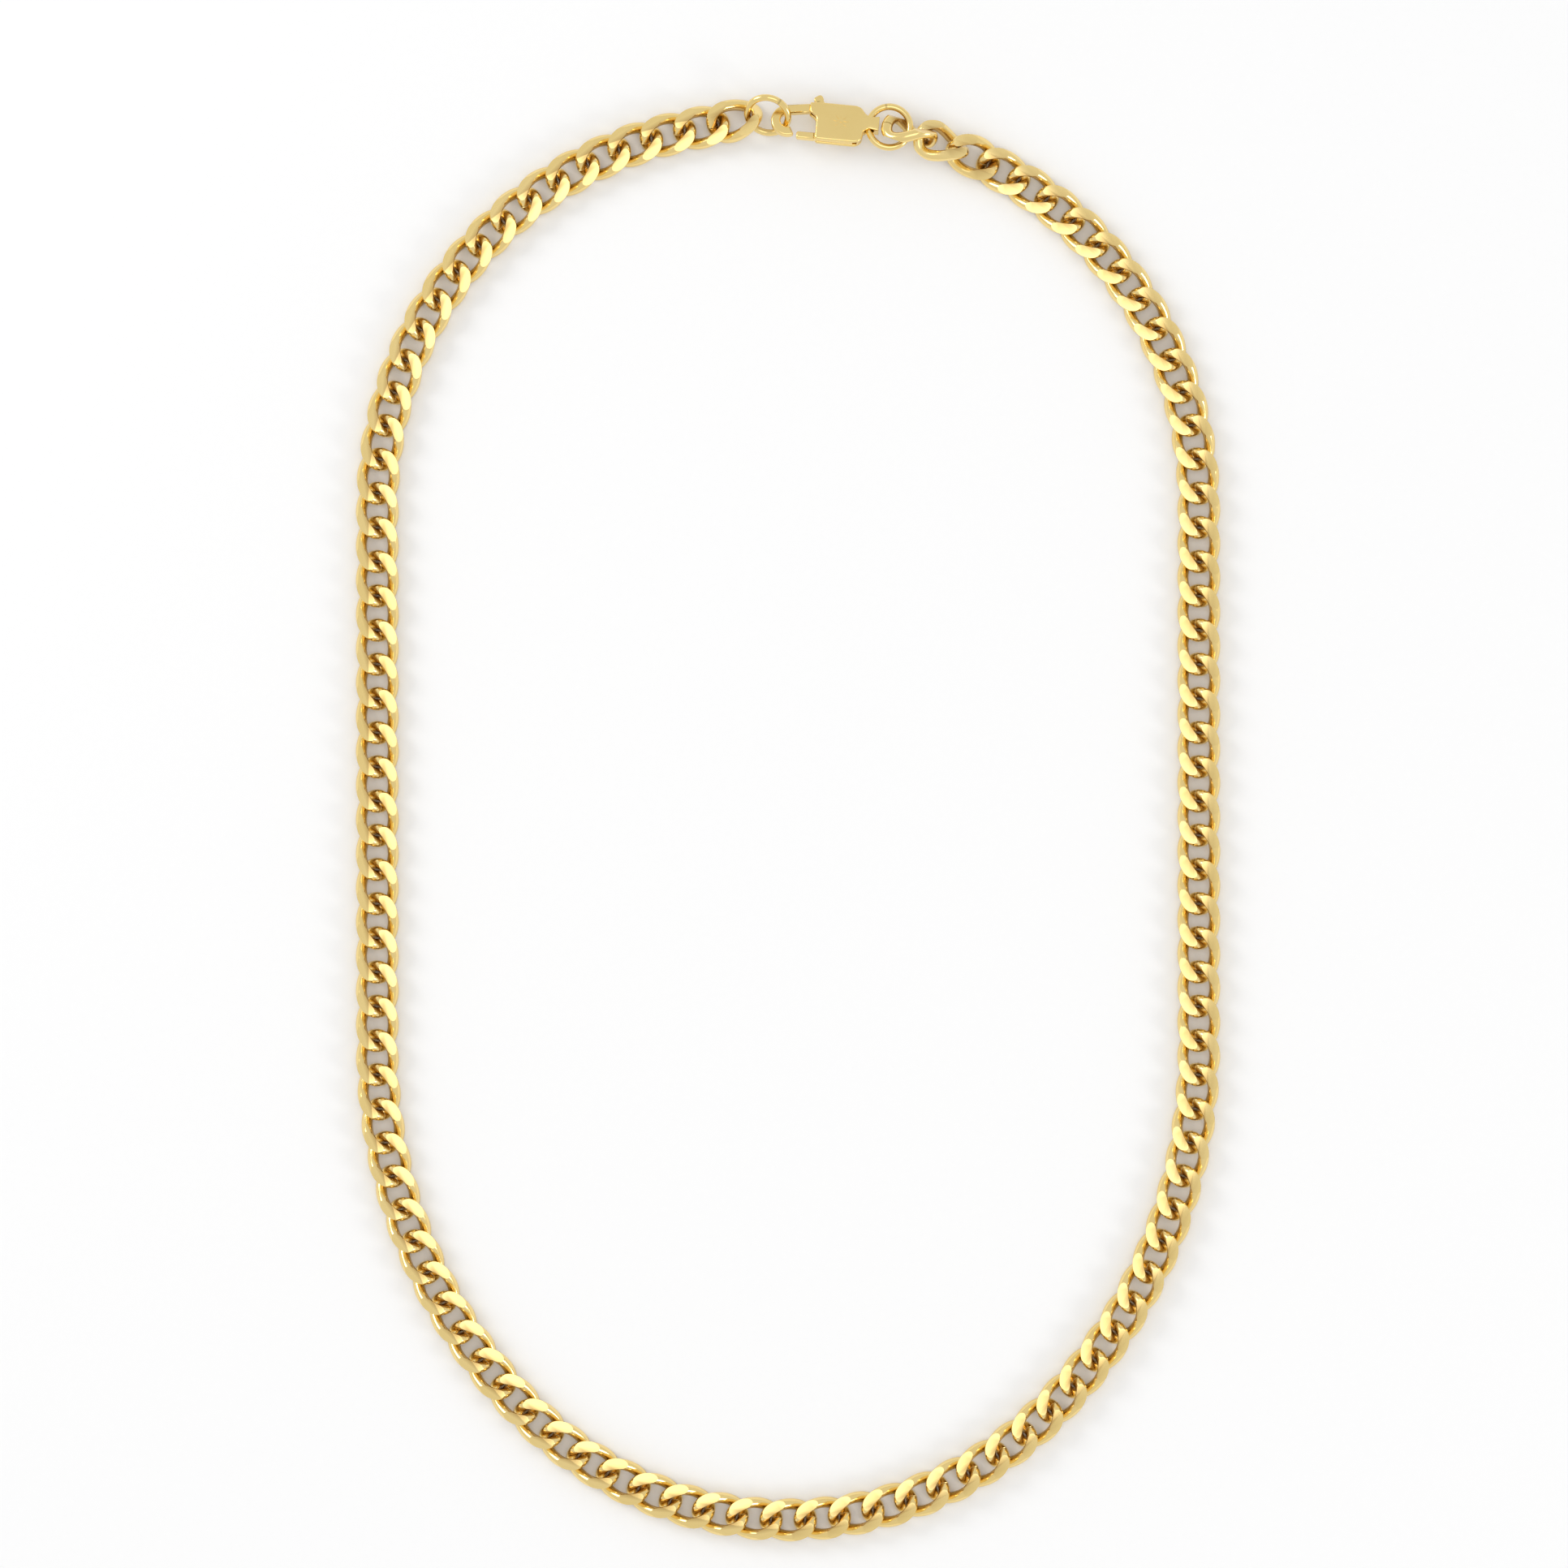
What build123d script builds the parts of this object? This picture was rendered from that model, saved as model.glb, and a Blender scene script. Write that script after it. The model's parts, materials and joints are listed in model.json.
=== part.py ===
from build123d import *
import math
import os

# A flat curb chain necklace, closed at the top by a trigger clasp and two jump rings.
# Millimetres and degrees. The chain lies on the XY plane with its clasp at +Y and its lowest
# link at -Y, and +Z points up from the surface that it lies on. Stations along the chain are
# counted from the link at the bottom centre: positive to the right, negative to the left.

# Chain
PITCH = 5.47                # from one link to the next, along the chain
LINKS_RIGHT = 51            # links between the bottom link and the clasp's own jump ring
LINKS_LEFT = 53             # links between the bottom link and the end ring
WIRE = 1.8                  # diameter of the link wire
LINK_A = 2.55               # half width of a link, at the middle of its wire
LINK_B = 3.75               # half length of a link, at the middle of its wire
LINK_H = 1.2                # rise and fall of the twisted wire
THICKNESS = 3.0             # the chain's thickness after its faces are ground flat
FLAT_BAND = 1.28            # half width of the flat middle of a ground face
SIDE_SLOPE = 8.0            # slope of the ground face on both sides of that middle
LIFT = 0.04                 # the links near the clasp reach this much lower than the others

# Outline of the loop: a rounded bottom, two straight sides and a flatter top
HALF_WIDTH = 65.7           # from the centre line to the middle of a side
BOTTOM_Y = -112.2
BOTTOM_R = 59.0             # arc at the bottom
LOW_SIDE_R = 82.0           # arc between the bottom and the straight side
TOP_Y = 111.75
TOP_R = 79.0                # arc at the top
SHOULDER_R = 61.0           # arc between the straight side and the top

# The last links climb to the clasp, and on the right they turn over, as the jump ring lies flat.
# For each: its slope, its turn about the chain's own direction, and its yaw about the link before.
ATTITUDES = {48: (0.8, 0.0, 0.0), 49: (10.2, -6.6, 0.0), 50: (7.7, 32.2, 0.0),
             51: (4.9, 73.0, -3.0), -53: (8.5, -10.0, 7.1)}

# Jump rings
RING_R = 3.31               # radius of a ring, at the middle of its wire
RING_WIRE = 1.08
CLASP_RING_TILT = -7.0
END_RING_AT = (-3.26, 112.3, 3.25)
END_RING_AXIS = -15.2       # direction, in plan, of the line that the ring is tilted about
END_RING_TILT = 40.0

# Clasp, in its own frame: u from the hook to the eye, v towards the thumb piece, w up
CLASP_AT = (8.32, 110.89, 3.13)
CLASP_YAW = -5.5
CLASP_ROLL = -16.0          # the clasp lies on its side a little, lower edge down
CASE_LEFT, CASE_RIGHT = -3.85, 3.75
CASE_LOW, CASE_HIGH = -3.3, 3.0
CASE_CORNER = 1.3
CASE_THICK = 2.3
CASE_BEVEL = 0.3
SLOT = 1.1                  # gap between the two cheeks of the case
SLOT_END = 2.9
HOOK_CENTRE = (-8.45, -0.35)
HOOK_R = 2.6                # outside radius of the hook
HOOK_WIDE = 1.5
HOOK_THICK = 1.2
HOOK_BEVEL = 0.22
HOOK_TIP_ANGLE = -62.0
ARM_SLOPE = 9.0             # slope of the arm between the hook and the case
ARM_ROOT_U = -5.0           # the arm is as thick as the case from here on
EYE_U, EYE_V = 4.65, 0.3    # middle of the eye
EYE_HALF = 1.2              # half width of the tab that the eye is drilled through
EYE_WAIST = 0.95            # half width of the neck
EYE_END = 6.2
EYE_THICK = 2.3
EYE_HOLE_R = 0.85
EYE_FLARE_R = 1.05
EYE_REST = 0.1              # how far the ring sits off the middle of the hole
LEVER_THICK = 0.9
PIVOT = (0.4, -1.9)
PIN_R = 0.45
LEVER_HOLE_R = 0.5
HUB_R = 1.1
GATE_TIP = -6.85            # u of the gate's free end
GATE_LOW, GATE_HIGH = -3.2, -2.05
GATE_THICK = 1.2
GATE_ROOT = -4.3            # the gate is thicker outside the case, on this side
KNOB = (-3.75, 3.75)
KNOB_LONG, KNOB_WIDE = 1.5, 1.2
STRIP = 0.16                # thickness of the spring's strip
STRIP_WIDE = 0.8


def loop_stretches():
    """The right half of the loop, from the bottom centre up: the length and bend of each stretch."""
    low_turn = math.acos((LOW_SIDE_R - HALF_WIDTH) / (LOW_SIDE_R - BOTTOM_R))
    top_turn = math.acos((HALF_WIDTH - SHOULDER_R) / (TOP_R - SHOULDER_R))
    side_low = BOTTOM_Y + BOTTOM_R + (LOW_SIDE_R - BOTTOM_R) * math.sin(low_turn)
    side_high = TOP_Y - TOP_R + (TOP_R - SHOULDER_R) * math.sin(top_turn)
    return [
        (BOTTOM_R * (math.pi / 2 - low_turn), 1 / BOTTOM_R),
        (LOW_SIDE_R * low_turn, 1 / LOW_SIDE_R),
        (side_high - side_low, 0.0),
        (SHOULDER_R * top_turn, 1 / SHOULDER_R),
        (TOP_R * (math.pi / 2 - top_turn), 1 / TOP_R),
    ]


def plan_at(s):
    """Place and heading in plan at a distance s along the loop, going away from the bottom."""
    x, y, heading, left = 0.0, BOTTOM_Y, 0.0, abs(s)
    for length, bend in loop_stretches():
        step = min(length, left)
        turn = bend * step
        chord = 2 * math.sin(turn / 2) / bend if turn else step
        x += chord * math.cos(heading + turn / 2)
        y += chord * math.sin(heading + turn / 2)
        heading += turn
        left -= step
    if s < 0:
        return -x, y, 180 - math.degrees(heading)
    return x, y, math.degrees(heading)


def attitude(number):
    return ATTITUDES.get(number, (0.0, 0.0, 0.0))


def chain_at(number):
    """Where the chain's centre line is at a link number, or at a half between two links."""
    side = math.copysign(1, number)
    along, z = abs(number) * PITCH, LIFT + THICKNESS / 2
    for link_number, (slope, _, _) in ATTITUDES.items():
        passed = min(max(number * side - abs(link_number) + 0.5, 0.0), 1.0) * PITCH
        if link_number * side > 0:
            along -= passed * (1 - math.cos(math.radians(slope)))
            z += passed * math.sin(math.radians(slope))
    x, y, heading = plan_at(side * along)
    return (x, y, z), heading


def link_place(number):
    """Where a link lies: its own y axis runs along the chain, away from the bottom link."""
    slope, turn, yaw = attitude(number)
    centre, heading = chain_at(number)
    hinge = Pos(*chain_at(number - math.copysign(0.5, number))[0])
    swung = hinge * Rot(Z=yaw) * hinge.inverse() * Location(centre)
    return swung * Rot(Z=heading - 90) * Rot(X=slope) * Rot(Y=turn)


def wire_point(t):
    """A point of a link's centre line and the direction there, at t radians round it."""
    point = Vector(LINK_A * math.cos(t), LINK_B * math.sin(t), LINK_H * math.sin(2 * t))
    along = Vector(-LINK_A * math.sin(t), LINK_B * math.cos(t), 2 * LINK_H * math.cos(2 * t))
    return point, along.normalized()


def biarc_middle(start, leaving, end, arriving):
    """Where two arcs that leave start and arrive at end in these directions join smoothly."""
    across = end - start
    both = leaving + arriving
    a = both.dot(both) - 4
    b = -2 * across.dot(both)
    reach = (-b - math.sqrt(b * b - 4 * a * across.dot(across))) / (2 * a)
    first, second = start + leaving * reach, end - arriving * reach
    return (first + second) * 0.5, (second - first).normalized()


def bent_wire(start, leaving, end):
    """A length of round wire along the arc that leaves start in a direction and stops at end."""
    chord = end - start
    half_turn = math.acos(leaving.dot(chord) / chord.length)
    radius = chord.length / (2 * math.sin(half_turn))
    inward = (chord - leaving * leaving.dot(chord)).normalized()
    axis = Axis(start + inward * radius, leaving.cross(inward))
    section = Plane(origin=start, z_dir=leaving) * Circle(WIRE / 2)
    return revolve(section, axis, math.degrees(2 * half_turn))


def ground_prism():
    """The space between the chain's two ground faces, each a flat middle and two gentle slopes."""
    top, reach = THICKNESS / 2, 5.0
    edge = top - (reach - FLAT_BAND) * math.tan(math.radians(SIDE_SLOPE))
    corners = [(-reach, edge), (-FLAT_BAND, top), (FLAT_BAND, top), (reach, edge)]
    corners += [(x, -z) for x, z in reversed(corners)]
    outline = Plane.XZ * make_face(Polyline(*corners, close=True))
    return extrude(outline, 6.0, both=True)


def link():
    """One curb link: an oval ring of round wire, twisted, with its high and low sides ground flat."""
    body = None
    corners = [wire_point(n * math.pi / 4) for n in range(8)]
    for n, (start, leaving) in enumerate(corners):
        end, arriving = corners[(n + 1) % 8]
        middle, along = biarc_middle(start, leaving, end, arriving)
        for piece in (bent_wire(start, leaving, middle), bent_wire(middle, along, end)):
            body = piece if body is None else body + piece
    return (body & ground_prism()).solid()


def jump_ring(at, axis, tilt):
    place = Location(at) * Rot(Z=axis) * Rot(X=tilt)
    return place * Torus(RING_R, RING_WIRE / 2)


def clasp_place():
    return Location(CLASP_AT) * Rot(Z=CLASP_YAW) * Rot(X=CLASP_ROLL)


def clasp_ring_centre():
    """The clasp's own ring hangs from the eye, with its wire in the hole."""
    eye = (clasp_place() * Pos(EYE_U, EYE_V, 0)).position
    yaw = math.radians(CLASP_YAW)
    reach = RING_R - EYE_REST
    return eye.X + reach * math.cos(yaw), eye.Y + reach * math.sin(yaw), eye.Z


def plate(outline, thickness):
    """A flat piece, centred on the clasp's middle plane."""
    return extrude(outline, thickness / 2, both=True)


def bevelled_plate(outline, thickness, bevel):
    """A flat piece with the edges of its two faces bevelled."""
    body = plate(outline, thickness)
    faces = body.faces().filter_by(Axis.Z)
    edges = faces.sort_by(Axis.Z)[-1].outer_wire().edges() + faces.sort_by(Axis.Z)[0].outer_wire().edges()
    return chamfer(edges, bevel)


def polar(centre, radius, angle):
    a = math.radians(angle)
    return centre[0] + radius * math.cos(a), centre[1] + radius * math.sin(a)


def hook_outline():
    """The hook, from its tip round to the arm's root inside the case."""
    inner = HOOK_R - HOOK_WIDE
    top = 90 + ARM_SLOPE
    slope = math.radians(ARM_SLOPE)
    reach = (CASE_LEFT + 0.6 - HOOK_CENTRE[0]) / math.cos(slope)
    run = (reach * math.cos(slope), reach * math.sin(slope))
    start = polar(HOOK_CENTRE, HOOK_R, top)
    root = (start[0] + run[0], start[1] + run[1])
    inner_start = polar(HOOK_CENTRE, inner, top)
    inner_root = (inner_start[0] + run[0], inner_start[1] + run[1])
    middle = (top + HOOK_TIP_ANGLE + 360) / 2
    outline = [
        Line(root, start),
        ThreePointArc(start, polar(HOOK_CENTRE, HOOK_R, middle),
                      polar(HOOK_CENTRE, HOOK_R, HOOK_TIP_ANGLE)),
        Line(polar(HOOK_CENTRE, HOOK_R, HOOK_TIP_ANGLE), polar(HOOK_CENTRE, inner, HOOK_TIP_ANGLE)),
        ThreePointArc(polar(HOOK_CENTRE, inner, HOOK_TIP_ANGLE), polar(HOOK_CENTRE, inner, middle),
                      inner_start),
        Line(inner_start, inner_root),
        Line(inner_root, root),
    ]
    return make_face(outline)


def case_outline():
    """The case, with the thick root of the arm at its upper left."""
    wide, high = CASE_RIGHT - CASE_LEFT, CASE_HIGH - CASE_LOW
    middle = ((CASE_LEFT + CASE_RIGHT) / 2, (CASE_LOW + CASE_HIGH) / 2)
    body = Pos(*middle) * RectangleRounded(wide, high, CASE_CORNER)
    slope = math.tan(math.radians(ARM_SLOPE))
    top = polar(HOOK_CENTRE, HOOK_R, 90 + ARM_SLOPE)
    at_root = top[1] + (ARM_ROOT_U - top[0]) * slope
    at_case = top[1] + (CASE_LEFT + 1.0 - top[0]) * slope
    low = HOOK_WIDE / math.cos(math.radians(ARM_SLOPE))
    root = Polyline((ARM_ROOT_U, at_root), (CASE_LEFT + 1.0, min(at_case, CASE_HIGH)),
                    (CASE_LEFT + 1.0, 0.4), (CASE_LEFT, 0.4), (ARM_ROOT_U, at_root - low), close=True)
    return body + make_face(root)


def eye_outline():
    """The neck and the tab at the end of the clasp."""
    neck, end = CASE_RIGHT - 0.5, EYE_END
    low = [(neck, EYE_V - 2.3), (CASE_RIGHT + 0.1, EYE_V - 1.5), (EYE_U, EYE_V - EYE_WAIST),
           (end, EYE_V - EYE_HALF)]
    high = [(u, 2 * EYE_V - v) for u, v in reversed(low)]
    return make_face(Polyline(*low, *high, close=True))


def slot_space():
    """The room between the cheeks, open on the left, above at the thumb piece and below."""
    corners = [(CASE_LEFT - 2, CASE_LOW - 1), (SLOT_END, CASE_LOW - 1), (SLOT_END, 2.0),
               (0.6, CASE_HIGH + 1), (ARM_ROOT_U + 0.15, CASE_HIGH + 1), (ARM_ROOT_U + 0.15, 0.2),
               (CASE_LEFT - 2, 0.2)]
    return plate(make_face(Polyline(*corners, close=True)), SLOT)


def clasp_body():
    """Hook, case, neck and eye, in one piece."""
    hook = bevelled_plate(hook_outline(), HOOK_THICK, HOOK_BEVEL)
    case = bevelled_plate(case_outline(), CASE_THICK, CASE_BEVEL)
    eye = bevelled_plate(eye_outline(), EYE_THICK, CASE_BEVEL)
    body = hook + case + eye
    body -= slot_space()
    drill = Pos(EYE_U, EYE_V, 0) * Rot(X=90) * Cylinder(EYE_HOLE_R, 4)
    body -= drill
    flare = EYE_FLARE_R - EYE_HOLE_R
    for side in (-1, 1):
        mouth = Pos(EYE_U, EYE_V + side * EYE_HALF, 0) * Rot(X=-90 * side)
        body -= mouth * Cone(EYE_HOLE_R - flare, EYE_FLARE_R + flare, 4 * flare)
    body -= Pos(*PIVOT) * Cylinder(PIN_R, CASE_THICK + 1)
    return body.solid()


def clasp_lever():
    """Gate, hub and thumb piece, cut from one plate."""
    hub = Pos(*PIVOT) * Circle(HUB_R)
    gate = make_face(Polyline((GATE_TIP, GATE_LOW + 0.15), (GATE_TIP + 0.25, GATE_LOW), (2.2, GATE_LOW),
                              (2.2, GATE_LOW + 0.5), (0.9, GATE_HIGH + 0.6), (GATE_ROOT, GATE_HIGH),
                              (GATE_TIP + 0.2, GATE_HIGH), (GATE_TIP, GATE_HIGH - 0.2), close=True))
    arm = make_face(Polyline((0.9, -1.4), (KNOB[0] + 0.75, KNOB[1] - 0.2), (KNOB[0] - 0.45, KNOB[1] - 0.35),
                             (-1.0, -2.4), close=True))
    knob = Pos(*KNOB) * Rot(Z=35) * RectangleRounded(KNOB_LONG, KNOB_WIDE, 0.5)
    lever = plate(hub + gate + arm + knob, LEVER_THICK)
    stout = make_face(Polyline((GATE_TIP, GATE_LOW + 0.15), (GATE_TIP + 0.25, GATE_LOW), (GATE_ROOT, GATE_LOW),
                               (GATE_ROOT, GATE_HIGH), (GATE_TIP + 0.2, GATE_HIGH),
                               (GATE_TIP, GATE_HIGH - 0.2), close=True))
    lever += bevelled_plate(stout, GATE_THICK, 0.2)
    lever -= Pos(*PIVOT) * Cylinder(LEVER_HOLE_R, 3)
    return lever.solid()


def lever_pin():
    """The rivet that the lever turns on, flush with both cheeks."""
    return Pos(*PIVOT) * Cylinder(PIN_R, CASE_THICK)


def lever_spring():
    """A bent strip between the case's end wall and the back of the thumb arm."""
    line = FilletPolyline((2.8, -0.9), (2.8, 1.5), (1.0, 1.9), (-0.8, 1.1), radius=0.5)
    section = Plane(origin=line @ 0, x_dir=(1, 0, 0), z_dir=line % 0) * Rectangle(STRIP, STRIP_WIDE)
    return sweep(section, line).solid()


def link_nodes():
    """The links, by node name. The bottom link and the last on each side are single, the rest pairs."""
    base = link()
    nodes = {"link_bottom": [0]}
    for side, sign, count in (("right", 1, LINKS_RIGHT), ("left", -1, LINKS_LEFT)):
        for first in range(1, count, 2):
            nodes[f"links_{side}_{first:02d}_{first + 1:02d}"] = [sign * first, sign * (first + 1)]
        nodes[f"link_{side}_{count:02d}"] = [sign * count]
    return {name: [link_place(n) * base for n in numbers] for name, numbers in nodes.items()}


def clasp_nodes():
    place = clasp_place()
    return {
        "clasp_body": [place * clasp_body()],
        "clasp_lever": [place * clasp_lever()],
        "lever_pin": [place * lever_pin()],
        "lever_spring": [place * lever_spring()],
        "clasp_ring": [jump_ring(clasp_ring_centre(), CLASP_YAW, CLASP_RING_TILT)],
        "end_ring": [jump_ring(END_RING_AT, END_RING_AXIS, END_RING_TILT)],
    }


def main():
    os.makedirs("parts", exist_ok=True)
    for name, solids in {**link_nodes(), **clasp_nodes()}.items():
        shape = solids[0] if len(solids) == 1 else Compound(children=solids)
        export_step(shape, f"parts/{name}.step")


if __name__ == "__main__":
    main()
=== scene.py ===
"""Looks for the curb chain necklace: links, jump rings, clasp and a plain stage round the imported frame."""
import json
import math
import random

import bmesh
import bpy
from mathutils import Matrix, Vector


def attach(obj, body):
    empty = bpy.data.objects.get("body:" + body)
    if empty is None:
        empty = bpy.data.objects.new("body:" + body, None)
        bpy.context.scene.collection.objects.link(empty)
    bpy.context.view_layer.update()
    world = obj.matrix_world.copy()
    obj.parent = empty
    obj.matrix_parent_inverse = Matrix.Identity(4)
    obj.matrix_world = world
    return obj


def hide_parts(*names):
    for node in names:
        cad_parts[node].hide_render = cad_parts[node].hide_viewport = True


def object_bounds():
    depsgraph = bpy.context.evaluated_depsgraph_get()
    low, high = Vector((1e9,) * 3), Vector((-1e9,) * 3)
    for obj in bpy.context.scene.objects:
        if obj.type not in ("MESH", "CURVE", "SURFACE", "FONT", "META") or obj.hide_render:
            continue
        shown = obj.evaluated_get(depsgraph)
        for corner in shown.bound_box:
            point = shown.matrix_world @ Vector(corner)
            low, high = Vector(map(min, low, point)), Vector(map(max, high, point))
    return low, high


bl_info = {
    "name": "Curb Chain Necklace",
    "version": (1, 0, 0),
    "blender": (4, 5, 0),
    "location": "3D View > Sidebar > Necklace",
    "description": "Builds the links, rings and clasp finish of a flat curb chain necklace",
    "category": "Add Mesh",
}

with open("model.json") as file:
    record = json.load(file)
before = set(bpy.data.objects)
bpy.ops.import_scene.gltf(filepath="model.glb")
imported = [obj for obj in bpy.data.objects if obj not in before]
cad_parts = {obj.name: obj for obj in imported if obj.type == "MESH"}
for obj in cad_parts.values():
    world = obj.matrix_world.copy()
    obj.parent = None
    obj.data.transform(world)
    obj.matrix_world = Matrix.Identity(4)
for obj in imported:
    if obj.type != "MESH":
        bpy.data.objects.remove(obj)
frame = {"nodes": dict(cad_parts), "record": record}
CAD_BOX = [list(corner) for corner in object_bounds()]

MM = 0.001

# How the chain lies, in millimetres and degrees, the same as in the solid model
LINKS_RIGHT = 51
LINKS_LEFT = 53
HALF_WIDTH = 65.7
BOTTOM_Y = -112.2
BOTTOM_R = 59.0
LOW_SIDE_R = 82.0
TOP_Y = 111.75
TOP_R = 79.0
SHOULDER_R = 61.0
LIFT = 0.04
ATTITUDES = {48: (0.8, 0.0, 0.0), 49: (10.2, -6.6, 0.0), 50: (7.7, 32.2, 0.0),
             51: (4.9, 73.0, -3.0), -53: (8.5, -10.0, 7.1)}

# The clasp's own frame
CLASP_AT = (8.32, 110.89, 3.13)
CLASP_YAW = -5.5
CLASP_ROLL = -16.0
EYE = (4.65, 0.3)
RING_REACH = 3.21
CLASP_RING_TILT = -7.0
END_RING_AT = (-3.26, 112.3, 3.25)
END_RING_AXIS = -15.2
END_RING_TILT = 40.0
CASE_TOP = 1.15
CHEEK = 0.6
PIVOT = (0.4, -1.9)
HOOK_CENTRE = (-8.45, -0.35)
HOOK_MIDDLE_R = 1.85
HOOK_SECTION = (1.5, 1.2)
HOOK_TIP_ANGLE = -62.0
ARM_SLOPE = 9.0
ARM_END_U = -4.85
LEVER_HALF = 0.45
GATE_HALF = 0.6
GATE_OUTLINE = ((-6.6, -3.1), (2.2, -3.2), (2.2, -2.7), (0.9, -1.45), (-4.3, -2.1), (-6.6, -2.15))
GATE_END_OUTLINE = ((-6.85, -3.2), (-3.95, -3.2), (-3.95, -2.05), (-6.85, -2.05))
ARM_OUTLINE = ((0.9, -1.4), (-3.0, 3.55), (-4.2, 3.4), (-1.0, -2.4))
KNOB = (-3.75, 3.75)
EYE_BORE = 0.85
EYE_BOX = (-1.35, 1.55)
CASE_OUTLINE = ((-3.85, -3.3), (3.75, -3.3), (3.75, 3.0), (-3.9, 3.0), (-5.0, 2.83), (-5.0, 1.31),
                (-3.85, 0.5))
CASE_CORNERS = {0: 0.6, 1: 1.7, 2: 1.8, 3: 0.5, 6: 0.6}
CORE_OUTLINE = ((2.9, -3.2), (3.0, -3.2), (3.65, -2.3), (3.65, 2.0), (2.7, 2.9), (1.85, 2.9),
                (2.9, 2.0))
TAB_STATIONS = ((3.3, 2.2), (3.85, 1.5), (4.65, 0.95), (6.2, 1.2))
HUB_R = 1.1
PIN_R = 0.45
PIN_SET_BACK = 0.12
MARK_AT = (0.1, 0.1)
MARK_RAYS = 8
MARK_RAY_REACH = 0.82
MARK_RAY_SIZE = (0.42, 0.13)
MARK_HUB_R = 0.26

# How finely round stretches are cut: around the wire and along it, or along the curve alone
LINK_STEPS = (20, 72)
RING_STEPS = (24, 96)
HOOK_STEPS = 40
CORNER_STEPS = 8

# A link is spun as a round ring of this radius before it is bent to its own shape
SPUN_LINK_R = 3.0

# Closed joints: their places round the jump rings, in degrees, and the share of the wire left there
CLASP_RING_SEAM = 104.0
END_RING_SEAM = 68.0
LINK_SEAM_SHRINK = 0.86
RING_SEAM_SHRINK = 0.95

# Finishes: how dark a ring's joint is and how dark the painted shade inside a ring is, roughness of rings
# and clasp, and plain colours
RING_SEAM_DARKNESS = 0.55
# painted shade: how strongly the inner side of a ring's wire is darkened
RING_RECESS_SHADE = 0.6
RING_POLISH = 0.14
CLASP_POLISH = 0.2
SEAM_COLOUR = (0.09, 0.04, 0.01)
STEEL_DARK = (0.45, 0.45, 0.45)
STEEL_LIGHT = (0.62, 0.61, 0.6)
SHADE_SEED = 7

# The stage, in metres and watts: each lamp's name, place, size and power
FLOOR_SIZE = 1.5
MIDDLE = (-0.00065, 0.0055, 0.0)
WORLD_STRENGTH = 0.78
LAMPS = (
    ("overhead", (0.0, 0.06, 1.3), 0.66, 1.3),
    ("left", (-1.0, 0.6, 0.7), 0.5, 4.4),
    ("right", (0.9, -0.5, 0.5), 0.3, 2.0),
)


class ChainSettings(bpy.types.PropertyGroup):
    """Sizes of one link and its spacing."""
    pitch: bpy.props.FloatProperty(
        name="Pitch", description="Distance from one link to the next", default=5.47 * MM,
        unit="LENGTH", precision=5)
    wire: bpy.props.FloatProperty(
        name="Wire", description="Diameter of the link wire", default=1.8 * MM, unit="LENGTH", precision=5)
    half_width: bpy.props.FloatProperty(
        name="Half width", description="Half width of a link at the middle of its wire",
        default=2.55 * MM, unit="LENGTH", precision=5)
    half_length: bpy.props.FloatProperty(
        name="Half length", description="Half length of a link at the middle of its wire",
        default=3.75 * MM, unit="LENGTH", precision=5)
    twist: bpy.props.FloatProperty(
        name="Twist", description="Rise and fall of the twisted wire", default=1.2 * MM,
        unit="LENGTH", precision=5)
    thickness: bpy.props.FloatProperty(
        name="Thickness", description="Thickness of the chain after grinding", default=3.0 * MM,
        unit="LENGTH", precision=5)
    flat_band: bpy.props.FloatProperty(
        name="Flat band", description="Half width of the flat middle of a ground face",
        default=1.28 * MM, unit="LENGTH", precision=5)
    side_slope: bpy.props.FloatProperty(
        name="Side slope", description="Slope of a ground face beside its flat middle",
        default=math.radians(8.0), subtype="ANGLE")
    seam: bpy.props.FloatProperty(
        name="Seam", description="Width of the closed joint across one end of a link",
        default=0.13 * MM, unit="LENGTH", precision=5)


class RingSettings(bpy.types.PropertyGroup):
    """Sizes of the two jump rings."""
    radius: bpy.props.FloatProperty(
        name="Radius", description="Radius of a ring at the middle of its wire", default=3.31 * MM,
        unit="LENGTH", precision=5)
    wire: bpy.props.FloatProperty(
        name="Wire", description="Diameter of the ring wire", default=1.08 * MM, unit="LENGTH", precision=5)


class FinishSettings(bpy.types.PropertyGroup):
    """Colours of the metal and of the painted shade in its recesses."""
    gold: bpy.props.FloatVectorProperty(
        name="Gold", description="Colour of the polished gold", default=(0.91, 0.68, 0.26),
        size=3, min=0, max=1, subtype="COLOR")
    # painted shade: the colour that the inner side of the wire is darkened towards, in place of the shade in
    # the recesses
    painted_shade_colour: bpy.props.FloatVectorProperty(
        name="Recesses", description="Colour of the dull metal in the recesses",
        default=(0.34, 0.16, 0.03), size=3, min=0, max=1, subtype="COLOR")
    polish: bpy.props.FloatProperty(
        name="Polish", description="Roughness of the ground faces", default=0.16, min=0, max=1,
        subtype="FACTOR")


class StageSettings(bpy.types.PropertyGroup):
    """The floor, the light and the camera."""
    floor: bpy.props.FloatVectorProperty(
        name="Floor", description="Colour of the floor", default=(0.96, 0.96, 0.96), size=3,
        min=0, max=1, subtype="COLOR")
    distance: bpy.props.FloatProperty(
        name="Camera height", description="Height of the camera above the floor", default=1.0,
        unit="LENGTH")
    view_width: bpy.props.FloatProperty(
        name="View width", description="Width of the floor that the camera sees", default=0.2512,
        unit="LENGTH", precision=4)


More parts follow.
